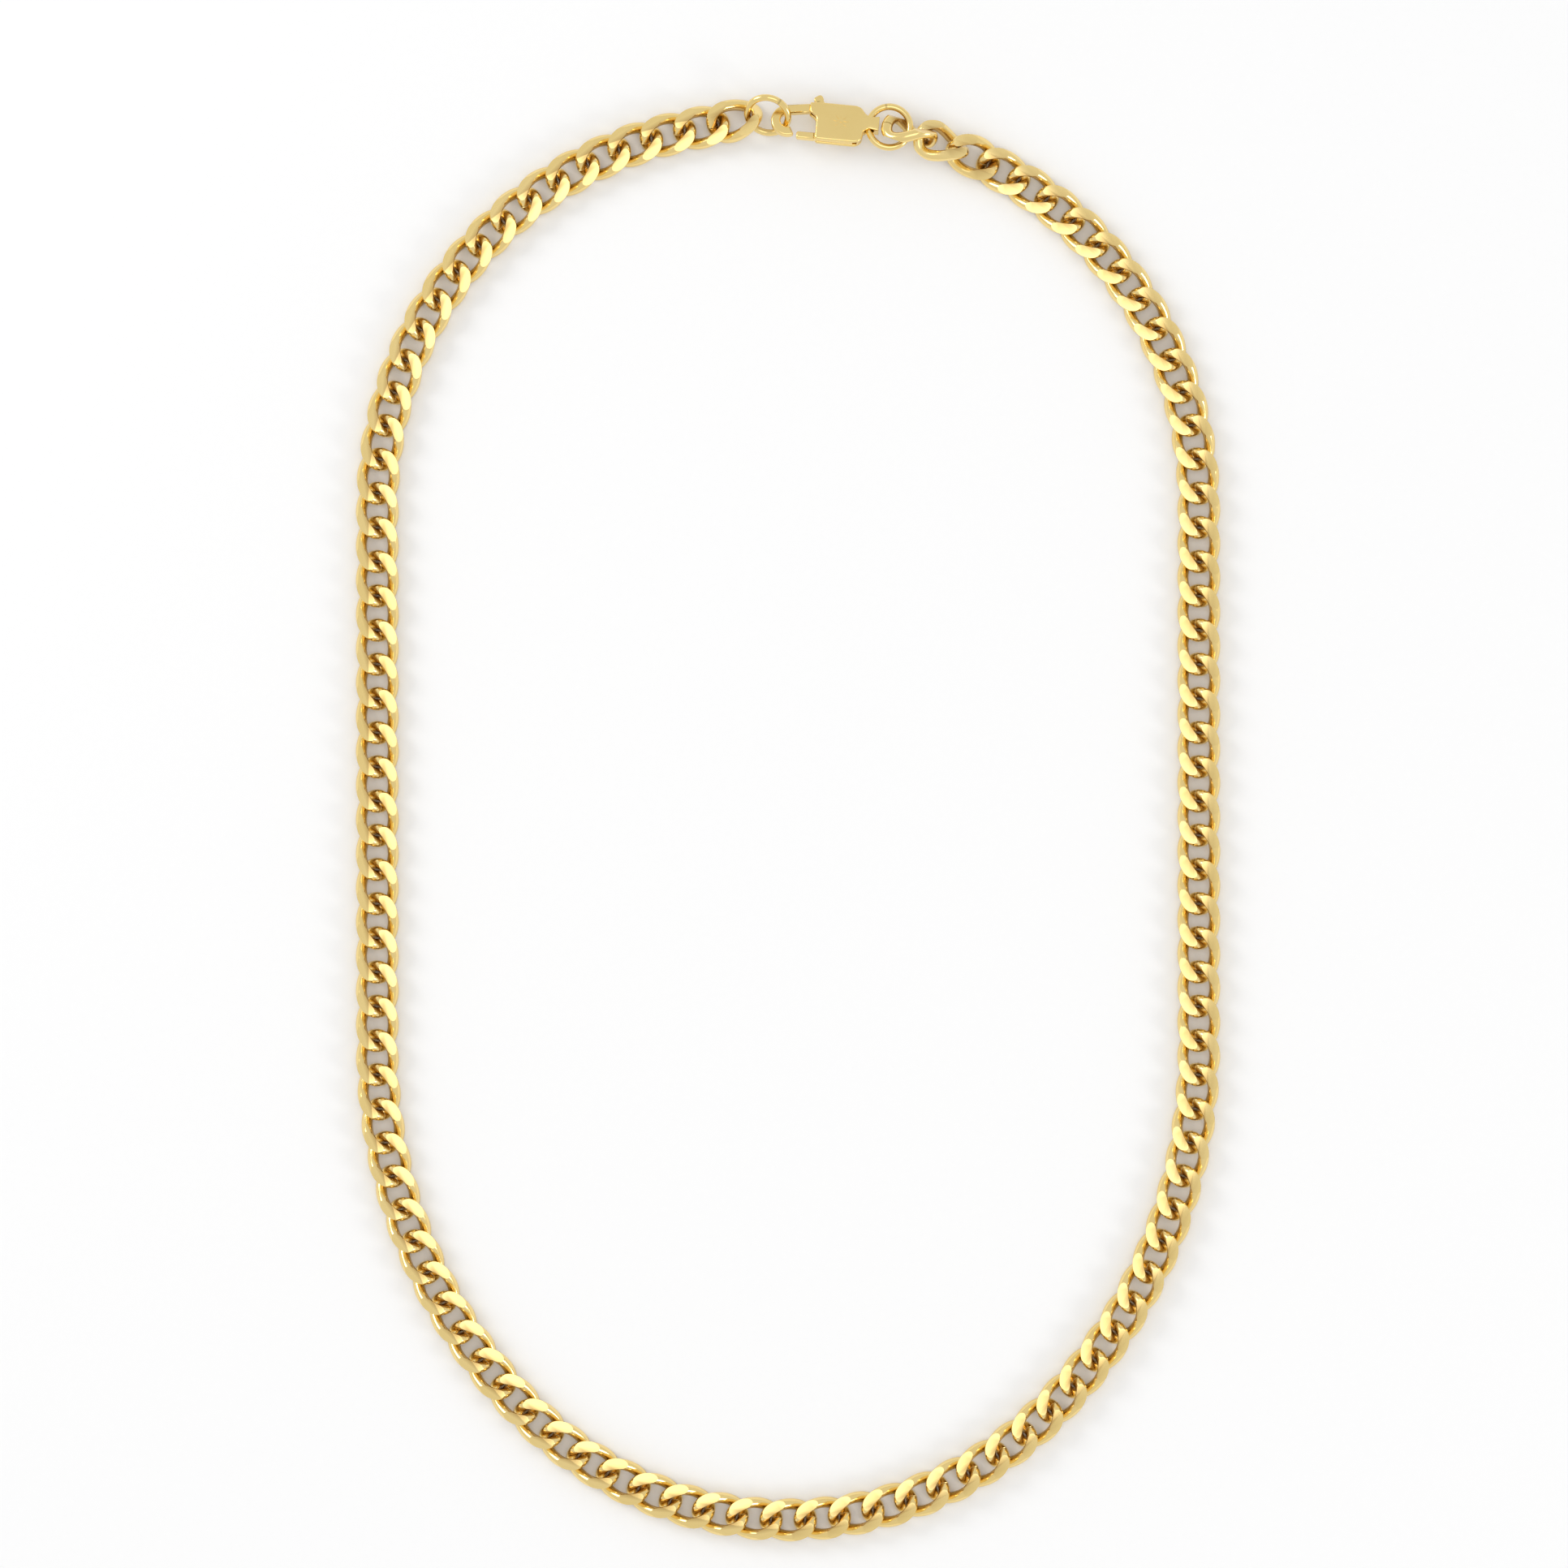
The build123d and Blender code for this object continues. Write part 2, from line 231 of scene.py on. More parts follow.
def loop_stretches():
    """Length and bend of each stretch of the loop's right half, from the bottom centre up."""
    low_turn = math.acos((LOW_SIDE_R - HALF_WIDTH) / (LOW_SIDE_R - BOTTOM_R))
    top_turn = math.acos((HALF_WIDTH - SHOULDER_R) / (TOP_R - SHOULDER_R))
    side_low = BOTTOM_Y + BOTTOM_R + (LOW_SIDE_R - BOTTOM_R) * math.sin(low_turn)
    side_high = TOP_Y - TOP_R + (TOP_R - SHOULDER_R) * math.sin(top_turn)
    return [
        (BOTTOM_R * (math.pi / 2 - low_turn), 1 / BOTTOM_R),
        (LOW_SIDE_R * low_turn, 1 / LOW_SIDE_R),
        (side_high - side_low, 0.0),
        (SHOULDER_R * top_turn, 1 / SHOULDER_R),
        (TOP_R * (math.pi / 2 - top_turn), 1 / TOP_R),
    ]


def plan_at(s):
    """Place and heading in plan at a distance s along the loop, going away from the bottom."""
    x, y, heading, left = 0.0, BOTTOM_Y, 0.0, abs(s)
    for length, bend in loop_stretches():
        step = min(length, left)
        turn = bend * step
        chord = 2 * math.sin(turn / 2) / bend if turn else step
        x += chord * math.cos(heading + turn / 2)
        y += chord * math.sin(heading + turn / 2)
        heading += turn
        left -= step
    if s < 0:
        return -x, y, math.pi - heading
    return x, y, heading


def chain_at(number, pitch, thickness):
    """Where the chain's centre line is at a link number, or at a half between two links."""
    side = math.copysign(1, number)
    along, z = abs(number) * pitch, LIFT + thickness / 2
    for link_number, (slope, _, _) in ATTITUDES.items():
        passed = min(max(number * side - abs(link_number) + 0.5, 0.0), 1.0) * pitch
        if link_number * side > 0:
            along -= passed * (1 - math.cos(math.radians(slope)))
            z += passed * math.sin(math.radians(slope))
    x, y, heading = plan_at(side * along)
    return Vector((x, y, z)), heading


def rotation(axis, degrees):
    return Matrix.Rotation(math.radians(degrees), 4, axis)


def link_place(number, pitch, thickness):
    """Where a link lies: its own y axis runs along the chain, away from the bottom link."""
    slope, turn, yaw = ATTITUDES.get(number, (0.0, 0.0, 0.0))
    centre, heading = chain_at(number, pitch, thickness)
    hinge = chain_at(number - math.copysign(0.5, number), pitch, thickness)[0]
    swing = Matrix.Translation(hinge) @ rotation("Z", yaw) @ Matrix.Translation(-hinge)
    lie = Matrix.Rotation(heading - math.pi / 2, 4, "Z") @ rotation("X", slope) @ rotation("Y", turn)
    return swing @ Matrix.Translation(centre) @ lie


def clasp_place():
    return Matrix.Translation(CLASP_AT) @ rotation("Z", CLASP_YAW) @ rotation("X", CLASP_ROLL)


class Value:
    """A socket that arithmetic adds Math nodes to."""

    def __init__(self, finish, socket):
        self.finish = finish
        self.socket = socket

    def maths(self, operation, first, second):
        node = self.finish.add("ShaderNodeMath", {"operation": operation}, {0: first, 1: second})
        return Value(self.finish, node.outputs[0])

    def __add__(self, other):
        return self.maths("ADD", self, other)

    __radd__ = __add__

    def __mul__(self, other):
        return self.maths("MULTIPLY", self, other)

    __rmul__ = __mul__

    def clamped(self):
        return self.maths("MINIMUM", self.maths("MAXIMUM", self, 0.0), 1.0)


class Finish:
    """A material and the nodes that are added to it."""

    def __init__(self, name):
        self.material = bpy.data.materials.new(name)
        self.material.use_nodes = True
        self.tree = self.material.node_tree
        self.tree.nodes.clear()

    def add(self, kind, settings, sockets):
        """One node: its settings first, then the values or links of its input sockets."""
        node = self.tree.nodes.new(kind)
        for key, value in settings.items():
            setattr(node, key, value)
        for key, value in sockets.items():
            if isinstance(value, Value):
                self.tree.links.new(value.socket, node.inputs[key])
            elif isinstance(value, bpy.types.NodeSocket):
                self.tree.links.new(value, node.inputs[key])
            else:
                node.inputs[key].default_value = value
        return node

    def value(self, node, output=0):
        return Value(self, node.outputs[output])

    def mix(self, factor, first, second):
        """A colour between two colours."""
        node = self.add("ShaderNodeMix", {"data_type": "RGBA"}, {"Factor": factor})
        for index, colour in ((6, first), (7, second)):
            if isinstance(colour, bpy.types.NodeSocket):
                self.tree.links.new(colour, node.inputs[index])
            else:
                node.inputs[index].default_value = (*colour, 1.0)
        return node.outputs[2]

    def noise(self, scale, detail, stretch=(1.0, 1.0, 1.0)):
        """Noise in the object's own space, with scale in cells per metre."""
        place = self.add("ShaderNodeTexCoord", {}, {})
        fitted = self.add("ShaderNodeMapping", {}, {"Vector": place.outputs["Object"], "Scale": stretch})
        node = self.add("ShaderNodeTexNoise", {"noise_dimensions": "3D"},
                        {"Vector": fitted.outputs[0], "Scale": scale, "Detail": detail})
        return self.value(node)

    def attribute(self, name):
        return self.value(self.add("ShaderNodeAttribute", {"attribute_name": name}, {}), "Fac")

    def close(self, shader):
        self.add("ShaderNodeOutputMaterial", {}, {"Surface": shader.outputs[0]})
        return self.material


def gold_finish(name, settings, roughness):
    """Polished gold: even colour, faint cloudiness, hair scratches, and painted shade that darkens the
    recesses, which are also rougher.
    """
    finish = Finish(name)
    cloud = finish.noise(260.0, 3.0)
    grain = finish.noise(5200.0, 2.0)
    hairs = finish.noise(1500.0, 2.0, (1.0, 0.14, 1.0))
    recess_shade = finish.attribute("recess_shade")
    tone = finish.attribute("tone")
    seam = finish.attribute("seam")
    gold = tuple(settings.gold)
    paler = (min(1.0, gold[0] * 1.05), min(1.0, gold[1] * 1.09), min(1.0, gold[2] * 1.25))
    body = finish.mix((cloud * 0.6 + tone * 0.5).clamped(), gold, paler)
    # painted shade: the recesses are darkened towards the shade colour
    shaded_body = finish.mix((recess_shade * 0.7).clamped(), body, tuple(settings.painted_shade_colour))
    colour = finish.mix((seam * 0.85).clamped(), shaded_body, SEAM_COLOUR)
    rough = (cloud * 0.05 + hairs * 0.06 + recess_shade * 0.12 + seam * 0.3 + (roughness - 0.05)).clamped()
    bump = finish.add("ShaderNodeBump", {}, {
        "Strength": 0.3, "Distance": 0.00002, "Height": grain * 0.2 + hairs * 0.4 + cloud * 2.5})
    shader = finish.add("ShaderNodeBsdfPrincipled", {}, {
        "Base Color": colour, "Metallic": 1.0, "Roughness": rough, "Normal": bump.outputs[0]})
    return finish.close(shader)


def steel_finish(name):
    """Bright spring steel, rolled along its length."""
    finish = Finish(name)
    streaks = finish.noise(2500.0, 2.0, (0.1, 1.0, 1.0))
    shader = finish.add("ShaderNodeBsdfPrincipled", {}, {
        "Base Color": finish.mix(streaks, STEEL_DARK, STEEL_LIGHT),
        "Metallic": 1.0, "Roughness": streaks * 0.15 + 0.2})
    return finish.close(shader)


def floor_finish(name, colour):
    """Plain matt paper."""
    finish = Finish(name)
    fibre = finish.noise(900.0, 3.0)
    darker = tuple(c * 0.985 for c in colour)
    shader = finish.add("ShaderNodeBsdfPrincipled", {}, {
        "Base Color": finish.mix(fibre, darker, tuple(colour)), "Roughness": 0.85})
    return finish.close(shader)


def spun_ring(radius, wire, around, along):
    """A ring of round wire about the Z axis, from one circle spun a full turn."""
    bm = bmesh.new()
    stand = Matrix.Translation((radius, 0, 0)) @ Matrix.Rotation(math.pi / 2, 4, "X")
    circle = bmesh.ops.create_circle(bm, segments=around, radius=wire / 2, matrix=stand)
    edges = list(dict.fromkeys(edge for vert in circle["verts"] for edge in vert.link_edges))
    bmesh.ops.spin(bm, geom=circle["verts"] + edges, cent=(0, 0, 0), axis=(0, 0, 1),
                   angle=2 * math.pi, steps=along, use_merge=True)
    bmesh.ops.remove_doubles(bm, verts=bm.verts, dist=1e-5)
    return bm


def faces_at(verts):
    return list(dict.fromkeys(face for vert in verts for face in vert.link_faces))


def draw_out(bm, faces, reach):
    """Extrudes faces and moves the new ones by reach."""
    drawn = bmesh.ops.extrude_face_region(bm, geom=faces)["geom"]
    bmesh.ops.translate(bm, vec=reach, verts=[v for v in drawn if isinstance(v, bmesh.types.BMVert)])


def cut_and_close(bm, point, outward):
    """Grinds away what lies beyond a plane and closes the cuts with flat faces."""
    cut = bmesh.ops.bisect_plane(bm, geom=bm.verts[:] + bm.edges[:] + bm.faces[:], dist=1e-6,
                                 plane_co=point, plane_no=outward, clear_outer=True)
    rims = [e for e in cut["geom_cut"] if isinstance(e, bmesh.types.BMEdge) and e.is_boundary]
    closed = bmesh.ops.holes_fill(bm, edges=rims, sides=0)
    for face in closed["faces"]:
        face.smooth = False


def link_mesh(chain, seam_end):
    """One curb link in millimetres, with the seam at its +y or -y end."""
    wire, a, b, h = (size / MM for size in (chain.wire, chain.half_width, chain.half_length, chain.twist))
    top, band = chain.thickness / MM / 2, chain.flat_band / MM
    groove = chain.seam / MM / 2
    bm = spun_ring(SPUN_LINK_R, wire, *LINK_STEPS)
    for face in bm.faces:
        face.smooth = True
    recess_shade = bm.verts.layers.float.new("recess_shade")
    seam = bm.verts.layers.float.new("seam")
    bm.verts.layers.float.new("tone")
    for side in (-1, 1):
        near = [f for f in bm.faces if f.calc_center_median().y * seam_end > 0]
        geometry = dict.fromkeys(part for f in near for part in (*f.verts, *f.edges, f))
        bmesh.ops.bisect_plane(bm, geom=list(geometry), dist=1e-6, plane_co=(side * groove, 0, 0),
                               plane_no=(1, 0, 0))
    for vert in bm.verts:
        x, y, z = vert.co
        t = math.atan2(y, x)
        out = math.hypot(x, y) - SPUN_LINK_R
        in_seam = abs(x) < groove * 0.5 and y * seam_end > 0
        shrink = LINK_SEAM_SHRINK if in_seam else 1.0
        centre = Vector((a * math.cos(t), b * math.sin(t), h * math.sin(2 * t)))
        along = Vector((-a * math.sin(t), b * math.cos(t), 2 * h * math.cos(2 * t))).normalized()
        outward = Vector((b * math.cos(t), a * math.sin(t), 0)).normalized()
        outward = (outward - along * outward.dot(along)).normalized()
        vert.co = centre + (outward * out + outward.cross(along) * z) * shrink
        # painted shade: strength grows towards the inner side of the wire
        vert[recess_shade] = min(max(-out / (wire / 2), 0.0), 1.0) ** 2
        vert[seam] = 1.0 if in_seam else 0.0
    for z_side in (-1, 1):
        cut_and_close(bm, (0, 0, z_side * top), (0, 0, z_side))
        for x_side in (-1, 1):
            lean = Vector((x_side * math.sin(chain.side_slope), 0, z_side * math.cos(chain.side_slope)))
            cut_and_close(bm, (x_side * band, 0, z_side * top), lean)
    bmesh.ops.recalc_face_normals(bm, faces=bm.faces)
    mesh = bpy.data.meshes.new("link")
    bm.to_mesh(mesh)
    bm.free()
    return mesh


def piece_from(bm, name, material, sharp_angle=24.0):
    """A finished piece in the scene, from a bmesh in millimetres."""
    bmesh.ops.scale(bm, vec=(MM, MM, MM), verts=bm.verts)
    mesh = bpy.data.meshes.new(name)
    bm.to_mesh(mesh)
    bm.free()
    mesh.set_sharp_from_angle(angle=math.radians(sharp_angle))
    mesh.materials.append(material)
    piece = bpy.data.objects.new(name, mesh)
    bpy.context.scene.collection.objects.link(piece)
    return piece


def body_of_node(node):
    """The body that a node of the frame belongs to."""
    for body, nodes in frame["record"]["behaviour"]["bodies"].items():
        if node in nodes:
            return body
    raise KeyError(f"no body holds {node}")


def stand_for(piece, node):
    """Puts a piece in a frame node's place and lets it move with that node's body."""
    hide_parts(node)
    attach(piece, body_of_node(node))


def link_nodes():
    """The links of each node of the chain, by number."""
    nodes = {"link_bottom": [0]}
    for side, sign, count in (("right", 1, LINKS_RIGHT), ("left", -1, LINKS_LEFT)):
        for first in range(1, count, 2):
            nodes[f"links_{side}_{first:02d}_{first + 1:02d}"] = [sign * first, sign * (first + 1)]
        nodes[f"link_{side}_{count:02d}"] = [sign * count]
    return nodes


def jump_ring(name, place, material, rings, seam_angle):
    """One jump ring with its closed joint, in millimetres."""
    radius, wire = rings.radius / MM, rings.wire / MM
    bm = spun_ring(radius, wire, *RING_STEPS)
    recess_shade = bm.verts.layers.float.new("recess_shade")
    seam = bm.verts.layers.float.new("seam")
    bm.verts.layers.float.new("tone")
    half_step = math.pi / RING_STEPS[1]
    for face in bm.faces:
        face.smooth = True
    for vert in bm.verts:
        x, y, z = vert.co
        out = math.hypot(x, y) - radius
        # painted shade: strength grows towards the inner side of the ring's wire
        vert[recess_shade] = min(max(-out / (wire / 2), 0.0), 1.0) ** 2 * RING_RECESS_SHADE
        if abs(math.atan2(y, x)) < half_step:
            middle = Vector((x, y, 0)).normalized() * radius
            vert.co = middle + (vert.co - middle) * RING_SEAM_SHRINK
            vert[seam] = RING_SEAM_DARKNESS
    bmesh.ops.recalc_face_normals(bm, faces=bm.faces)
    bmesh.ops.transform(bm, matrix=place @ rotation("Z", seam_angle), verts=bm.verts)
    return piece_from(bm, name, material)


class NECKLACE_OT_links(bpy.types.Operator):
    """Builds every curb link in place of the frame's plain ones"""
    bl_idname = "necklace.links"
    bl_label = "Curb links"

    def execute(self, context):
        chain = context.scene.necklace_chain
        pitch, thickness = chain.pitch / MM, chain.thickness / MM
        material = gold_finish("polished_gold_links", context.scene.necklace_finish,
                               context.scene.necklace_finish.polish)
        patterns = {1: link_mesh(chain, 1), -1: link_mesh(chain, -1)}
        chance = random.Random(SHADE_SEED)
        for node, numbers in link_nodes().items():
            bm = bmesh.new()
            for number in numbers:
                known = set(bm.verts)
                bm.from_mesh(patterns[-1 if number < 0 else 1])
                added = [v for v in bm.verts if v not in known]
                bmesh.ops.transform(bm, matrix=link_place(number, pitch, thickness), verts=added)
                tone = bm.verts.layers.float["tone"]
                shade = chance.random()
                for vert in added:
                    vert[tone] = shade
            stand_for(piece_from(bm, "curb_" + node, material), node)
        for mesh in patterns.values():
            bpy.data.meshes.remove(mesh)
        return {"FINISHED"}


class NECKLACE_OT_rings(bpy.types.Operator):
    """Builds the two jump rings"""
    bl_idname = "necklace.rings"
    bl_label = "Jump rings"

    def execute(self, context):
        rings = context.scene.necklace_rings
        material = gold_finish("polished_gold_rings", context.scene.necklace_finish, RING_POLISH)
        eye = clasp_place() @ Vector((*EYE, 0))
        yaw = math.radians(CLASP_YAW)
        centre = eye + RING_REACH * Vector((math.cos(yaw), math.sin(yaw), 0))
        at_clasp = Matrix.Translation(centre) @ rotation("Z", CLASP_YAW) @ rotation("X", CLASP_RING_TILT)
        at_end = (Matrix.Translation(END_RING_AT) @ rotation("Z", END_RING_AXIS)
                  @ rotation("X", END_RING_TILT))
        for name, place, seam_angle, node in (
                ("jump_ring_clasp", at_clasp, CLASP_RING_SEAM, "clasp_ring"),
                ("jump_ring_end", at_end, END_RING_SEAM, "end_ring")):
            stand_for(jump_ring(name, place, material, rings, seam_angle), node)
        return {"FINISHED"}


def rounded(outline, corners):
    """An outline with some of its corners rounded, each by the reach that corners gives it."""
    points = []
    for index, here in enumerate(outline):
        here = Vector(here)
        reach = corners.get(index)
        if reach is None:
            points.append(here)
            continue
        before = here + (Vector(outline[index - 1]) - here).normalized() * reach
        after = here + (Vector(outline[(index + 1) % len(outline)]) - here).normalized() * reach
        for step in range(CORNER_STEPS + 1):
            t = step / CORNER_STEPS
            points.append(before.lerp(here, t).lerp(here.lerp(after, t), t))
    return points


def add_plate(bm, outline, low, high, corners, rim):
    """A flat plate with rounded corners and a rounded rim, added to a bmesh."""
    plate = bmesh.new()
    plate.faces.new([plate.verts.new((u, v, low)) for u, v in rounded(outline, corners)])
    draw_out(plate, plate.faces[:], (0, 0, high - low))
    bmesh.ops.recalc_face_normals(plate, faces=plate.faces)
    rims = [e for e in plate.edges
            if abs(e.verts[0].co.z - e.verts[1].co.z) < 1e-6]
    bmesh.ops.bevel(plate, geom=rims, offset=rim, offset_type="OFFSET", affect="EDGES", segments=3,
                    profile=0.5, material=-1)
    merge_into(bm, plate)


def merge_into(bm, part):
    """Moves one bmesh's faces into another."""
    bmesh.ops.recalc_face_normals(part, faces=part.faces)
    for face in part.faces:
        face.smooth = True
    mesh = bpy.data.meshes.new("part")
    part.to_mesh(mesh)
    part.free()
    bm.from_mesh(mesh)
    bpy.data.meshes.remove(mesh)


def add_hook(bm):
    """The hook and its arm: a rectangle spun about the hook's centre, then drawn out straight."""
    part = bmesh.new()
    wide, thick = HOOK_SECTION
    start = math.radians(90 + ARM_SLOPE)
    sweep = math.radians(360 + HOOK_TIP_ANGLE) - start
    outward = Vector((math.cos(start), math.sin(start), 0))
    centre = Vector((*HOOK_CENTRE, 0))
    up = Vector((0, 0, 1))
    middle = centre + outward * HOOK_MIDDLE_R
    section = [part.verts.new(middle + outward * (across * wide / 2) + up * (tall * thick / 2))
               for across, tall in ((-1, -1), (1, -1), (1, 1), (-1, 1))]
    face = part.faces.new(section)
    bmesh.ops.spin(part, geom=[face, *face.edges, *section], cent=centre, axis=(0, 0, 1), angle=sweep,
                   steps=HOOK_STEPS, use_merge=False)
    root = [e for e in part.edges if e.is_boundary]
    along = Vector((math.sin(start), -math.cos(start), 0))
    reach = (ARM_END_U - middle.x) / along.x
    start_face = min(part.faces, key=lambda f: (f.calc_center_median() - middle).length)
    draw_out(part, [start_face], along * reach)
    bmesh.ops.holes_fill(part, edges=root, sides=0)
    bmesh.ops.remove_doubles(part, verts=part.verts, dist=1e-5)
    bmesh.ops.recalc_face_normals(part, faces=part.faces)
    long_edges = [e for e in part.edges if len(e.link_faces) == 2 and e.calc_face_angle(0) > 1.0]
    bmesh.ops.bevel(part, geom=long_edges, offset=0.26, offset_type="OFFSET", affect="EDGES",
                    segments=3, profile=0.5, material=-1)
    merge_into(bm, part)


def tab_half(u):
    """Half width of the neck and the eye's tab: wide at the case, narrow at the bore."""
    for (u0, h0), (u1, h1) in zip(TAB_STATIONS, TAB_STATIONS[1:]):
        if u <= u1:
            return h0 + (h1 - h0) * (u - u0) / (u1 - u0)
    return TAB_STATIONS[-1][1]


def add_eye(bm):
    """The tab at the clasp's end, with the bore that the jump ring passes through."""
    part = bmesh.new()
    bmesh.ops.create_circle(part, segments=40, radius=EYE_BORE)
    outside = bmesh.ops.create_circle(part, segments=40, radius=1.0)["verts"]
    for vert in outside:
        x, y = vert.co.x, vert.co.y
        side = EYE_BOX[1] if x > 0 else -EYE_BOX[0]
        vert.co *= min(side / max(abs(x), 1e-6), CASE_TOP / max(abs(y), 1e-6))
    bmesh.ops.bridge_loops(part, edges=part.edges[:])
    draw_out(part, part.faces[:], (0, 0, 1))
    for vert in part.verts:
        u, w = EYE[0] + vert.co.x, vert.co.y
        vert.co = (u, EYE[1] + (2 * vert.co.z - 1) * tab_half(u), w)
    bmesh.ops.recalc_face_normals(part, faces=part.faces)
    sharp = [e for e in part.edges if len(e.link_faces) == 2 and e.calc_face_angle(0) > 0.9]
    bmesh.ops.bevel(part, geom=sharp, offset=0.14, offset_type="OFFSET", affect="EDGES", segments=2,
                    profile=0.5, material=-1, clamp_overlap=True)
    merge_into(bm, part)


def clasp_shell(material):
    """Hook, case, neck and eye as one piece."""
    bm = bmesh.new()
    inner = CASE_TOP - CHEEK
    add_plate(bm, CASE_OUTLINE, inner, CASE_TOP, CASE_CORNERS, 0.24)
    add_plate(bm, CASE_OUTLINE, -CASE_TOP, -inner, CASE_CORNERS, 0.24)
    add_plate(bm, CORE_OUTLINE, -inner - 0.2, inner + 0.2, {}, 0.05)
    add_hook(bm)
    add_eye(bm)
    bmesh.ops.transform(bm, matrix=clasp_place(), verts=bm.verts)
    return piece_from(bm, "clasp_case", material, 40.0)


def sunburst(material):
    """A small generic ornament of raised rays on the middle of the case."""
    bm = bmesh.new()
    for number in range(MARK_RAYS):
        turn = Matrix.Rotation(2 * math.pi * number / MARK_RAYS, 4, "Z")
        shape = (turn @ Matrix.Translation((MARK_RAY_REACH, 0, 0))
                 @ Matrix.Diagonal((*MARK_RAY_SIZE, 1, 1)))
        ray = bmesh.ops.create_circle(bm, cap_ends=True, segments=4, radius=1.0, matrix=shape)
        draw_out(bm, faces_at(ray["verts"]), (0, 0, 0.09))
    hub = bmesh.ops.create_circle(bm, cap_ends=True, segments=24, radius=MARK_HUB_R)
    draw_out(bm, faces_at(hub["verts"]), (0, 0, 0.1))
    bmesh.ops.recalc_face_normals(bm, faces=bm.faces)
    sunk = Matrix.Translation((*MARK_AT, CASE_TOP - 0.02))
    bmesh.ops.transform(bm, matrix=clasp_place() @ sunk, verts=bm.verts)
    return piece_from(bm, "case_sunburst", material)


def trigger(material):
    """The lever: a gate across the hook's mouth, a hub on the rivet and a thumb piece."""
    bm = bmesh.new()
    add_plate(bm, GATE_OUTLINE, -LEVER_HALF, LEVER_HALF, {}, 0.08)
    add_plate(bm, GATE_END_OUTLINE, -GATE_HALF, GATE_HALF, {0: 0.45, 3: 0.5}, 0.24)
    add_plate(bm, ARM_OUTLINE, -LEVER_HALF, LEVER_HALF, {}, 0.08)
    middle = Vector(KNOB)
    turn = Matrix.Rotation(math.radians(35), 2)
    corners = ((-0.75, -0.6), (0.75, -0.6), (0.75, 0.6), (-0.75, 0.6))
    knob = [middle + turn @ Vector(corner) for corner in corners]
    add_plate(bm, knob, -LEVER_HALF, LEVER_HALF, dict.fromkeys(range(4), 0.55), 0.16)
    hub = bmesh.new()
    bmesh.ops.create_cone(hub, cap_ends=True, segments=40, radius1=HUB_R, radius2=HUB_R,
                          depth=2 * LEVER_HALF, matrix=Matrix.Translation((*PIVOT, 0)))
    merge_into(bm, hub)
    bmesh.ops.transform(bm, matrix=clasp_place(), verts=bm.verts)
    return piece_from(bm, "trigger_lever", material, 40.0)


def rivet(material):
    """The rivet that the lever turns on, closed in by the cheeks."""
    bm = bmesh.new()
    bmesh.ops.create_cone(bm, cap_ends=True, segments=32, radius1=PIN_R, radius2=PIN_R,
                          depth=2 * (CASE_TOP - PIN_SET_BACK))
    rims = [e for e in bm.edges if abs(e.verts[0].co.z - e.verts[1].co.z) < 1e-6]
    bmesh.ops.bevel(bm, geom=rims, offset=0.06, offset_type="OFFSET", affect="EDGES", segments=2,
                    profile=0.5, material=-1)
    bmesh.ops.transform(bm, matrix=clasp_place() @ Matrix.Translation((*PIVOT, 0)), verts=bm.verts)
    return piece_from(bm, "lever_rivet", material)


class NECKLACE_OT_clasp(bpy.types.Operator):
    """Finishes the trigger clasp"""
    bl_idname = "necklace.clasp"
    bl_label = "Trigger clasp"

    def execute(self, context):
        material = gold_finish("polished_gold_clasp", context.scene.necklace_finish, CLASP_POLISH)
        steel = steel_finish("spring_steel")
        stand_for(clasp_shell(material), "clasp_body")
        stand_for(rivet(material), "lever_pin")
        stand_for(trigger(material), "clasp_lever")
        for slot in frame["nodes"]["lever_spring"].material_slots:
            slot.material = steel
        mark = sunburst(material)
        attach(mark, "clasp_body")
        return {"FINISHED"}


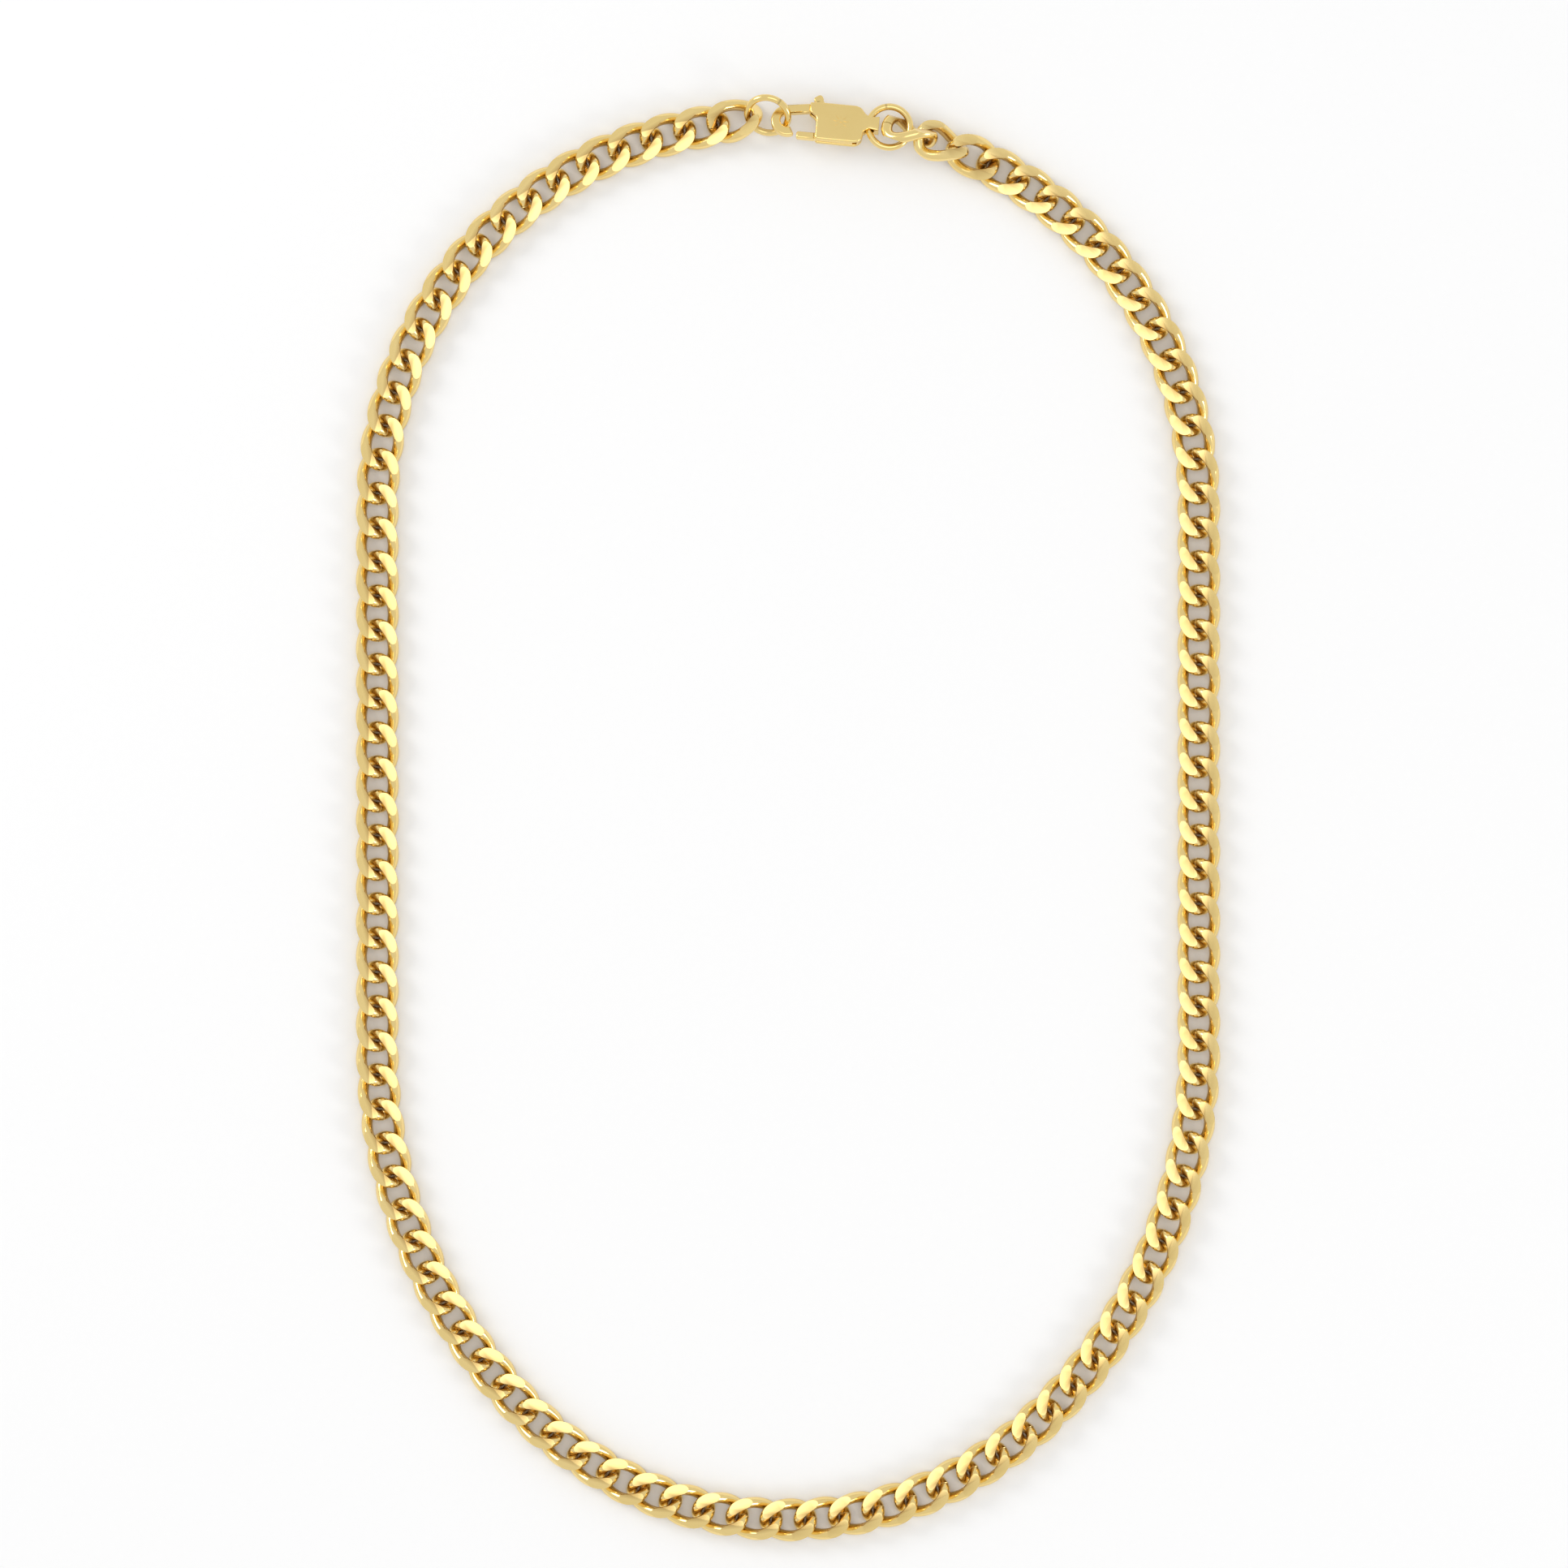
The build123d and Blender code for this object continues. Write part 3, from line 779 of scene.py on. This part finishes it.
class NECKLACE_OT_stage(bpy.types.Operator):
    """Sets the floor, the soft light and the camera"""
    bl_idname = "necklace.stage"
    bl_label = "Stage"

    def execute(self, context):
        stage = context.scene.necklace_stage
        bm = bmesh.new()
        bmesh.ops.create_grid(bm, x_segments=1, y_segments=1, size=FLOOR_SIZE,
                              matrix=Matrix.Translation((0, 0, CAD_BOX[0][2])))
        mesh = bpy.data.meshes.new("floor")
        bm.to_mesh(mesh)
        bm.free()
        mesh.materials.append(floor_finish("matt_paper", stage.floor))
        floor = bpy.data.objects.new("floor", mesh)
        context.scene.collection.objects.link(floor)

        world = bpy.data.worlds.new("studio")
        world.use_nodes = True
        world.node_tree.nodes["Background"].inputs["Color"].default_value = (1.0, 1.0, 1.0, 1.0)
        world.node_tree.nodes["Background"].inputs["Strength"].default_value = WORLD_STRENGTH
        context.scene.world = world
        middle = Vector(MIDDLE)
        for name, place, size, power in LAMPS:
            data = bpy.data.lights.new(name, "AREA")
            data.shape = "SQUARE"
            data.size = size
            data.energy = power
            lamp = bpy.data.objects.new(name, data)
            lamp.location = place
            lamp.rotation_euler = (middle - Vector(place)).to_track_quat("-Z", "Y").to_euler()
            context.scene.collection.objects.link(lamp)

        context.scene.view_settings.view_transform = "Standard"
        camera = bpy.data.cameras.new("camera")
        camera.sensor_width = 36.0
        camera.lens = camera.sensor_width * stage.distance / stage.view_width
        camera.clip_start = 0.01
        eye = bpy.data.objects.new("camera", camera)
        eye.location = (middle.x, middle.y, stage.distance)
        context.scene.collection.objects.link(eye)
        context.scene.camera = eye
        return {"FINISHED"}


class NECKLACE_PT_panel(bpy.types.Panel):
    """Lists the pieces of the necklace"""
    bl_idname = "NECKLACE_PT_panel"
    bl_label = "Curb Chain Necklace"
    bl_space_type = "VIEW_3D"
    bl_region_type = "UI"
    bl_category = "Necklace"

    def draw(self, context):
        layout = self.layout
        for settings, names in ((context.scene.necklace_chain, ("pitch", "wire", "thickness")),
                                (context.scene.necklace_rings, ("radius", "wire")),
                                (context.scene.necklace_finish, ("gold", "painted_shade_colour", "polish")),
                                (context.scene.necklace_stage, ("floor", "distance"))):
            for name in names:
                layout.prop(settings, name)
        for operator in ("necklace.links", "necklace.rings", "necklace.clasp", "necklace.stage"):
            layout.operator(operator)


CLASSES = (ChainSettings, RingSettings, FinishSettings, StageSettings, NECKLACE_OT_links,
           NECKLACE_OT_rings, NECKLACE_OT_clasp, NECKLACE_OT_stage, NECKLACE_PT_panel)
GROUPS = {"necklace_chain": ChainSettings, "necklace_rings": RingSettings,
          "necklace_finish": FinishSettings, "necklace_stage": StageSettings}


def register():
    for cls in CLASSES:
        bpy.utils.register_class(cls)
    for name, group in GROUPS.items():
        setattr(bpy.types.Scene, name, bpy.props.PointerProperty(type=group))


def unregister():
    for name in GROUPS:
        delattr(bpy.types.Scene, name)
    for cls in reversed(CLASSES):
        bpy.utils.unregister_class(cls)


def main():
    register()
    bpy.ops.necklace.links()
    bpy.ops.necklace.rings()
    bpy.ops.necklace.clasp()
    bpy.ops.necklace.stage()


if __name__ == "__main__":
    main()
